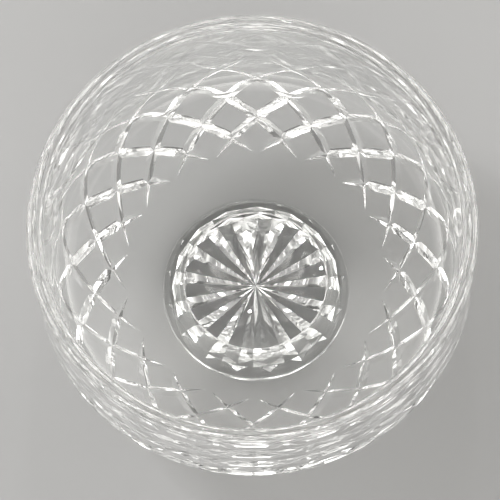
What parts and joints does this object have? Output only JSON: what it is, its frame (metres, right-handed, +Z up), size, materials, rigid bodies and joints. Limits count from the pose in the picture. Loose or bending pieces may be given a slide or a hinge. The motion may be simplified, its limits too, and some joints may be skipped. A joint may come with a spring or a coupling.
{
  "type": "footed glass bowl",
  "caption": "Low, wide cut-glass vessel: plain upright wall at the lip, crossed mitre cuts over the shoulder and sloping underside, short pedestal foot with a star cut.",
  "frame": {"origin": "centre of the foot's resting face", "axes": "+Z up along the axis of the bowl, towards the open mouth; +Y passes through a crossing of the lowest row of cuts"},
  "size_m": [0.1122, 0.112, 0.062],
  "materials": {
    "clear_glass": "polished colourless lead glass with bright mitre cuts",
    "foot_glass": "polished colourless lead glass, star cut underneath"
  },
  "bodies": {
    "root": {"bowl": "clear_glass", "foot": "foot_glass"}
  },
  "joints": []
}
